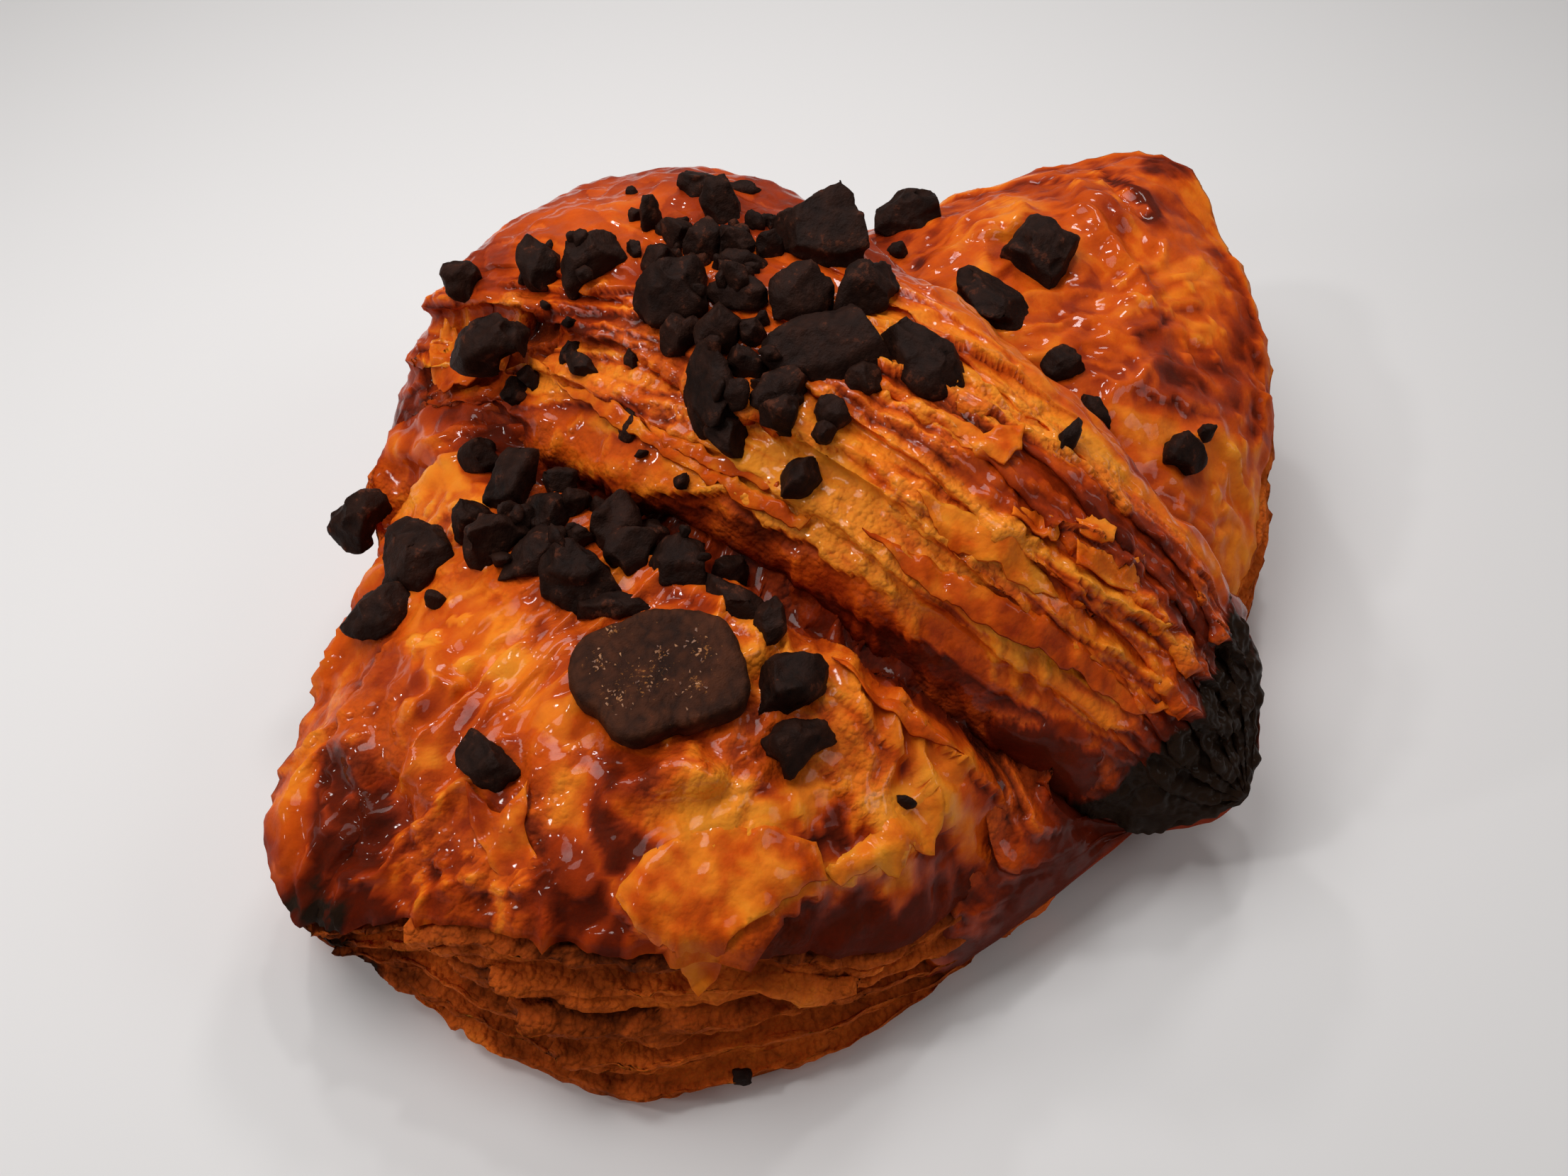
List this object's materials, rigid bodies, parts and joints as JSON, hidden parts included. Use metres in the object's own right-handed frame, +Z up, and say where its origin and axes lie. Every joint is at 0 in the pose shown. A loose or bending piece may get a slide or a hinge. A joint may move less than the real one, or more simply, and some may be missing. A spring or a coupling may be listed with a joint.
{
  "type": "croissant",
  "caption": "Chocolate-topped croissant pastry folded from one square of laminated dough, with two folded flaps and two pointed lobes.",
  "frame": {"origin": "under the middle of the pastry, on the surface that it rests on", "axes": "+X from the front lobe to the rear lobe, +Y towards the fold of the upper flap, +Z up"},
  "size_m": [0.1456, 0.109, 0.0549],
  "materials": {
    "baked_dough": "egg-washed crust",
    "dark_chocolate": "satin"
  },
  "bodies": {
    "root": {"pastry": "baked_dough", "coin": "dark_chocolate", "chunk_01": "dark_chocolate", "chunk_02": "dark_chocolate", "chunk_03": "dark_chocolate", "chunk_04": "dark_chocolate", "chunk_05": "dark_chocolate", "chunk_06": "dark_chocolate", "chunk_07": "dark_chocolate", "chunk_08": "dark_chocolate", "chunk_09": "dark_chocolate", "chunk_10": "dark_chocolate", "chunk_11": "dark_chocolate", "chunk_12": "dark_chocolate", "chunk_13": "dark_chocolate", "chunk_14": "dark_chocolate", "chunk_15": "dark_chocolate", "chunk_16": "dark_chocolate", "chunk_17": "dark_chocolate", "chunk_18": "dark_chocolate", "chunk_19": "dark_chocolate", "chunk_20": "dark_chocolate", "chunk_21": "dark_chocolate", "chunk_22": "dark_chocolate", "chunk_23": "dark_chocolate", "chunk_24": "dark_chocolate", "chunk_25": "dark_chocolate", "chunk_26": "dark_chocolate", "chunk_27": "dark_chocolate"}
  },
  "joints": []
}
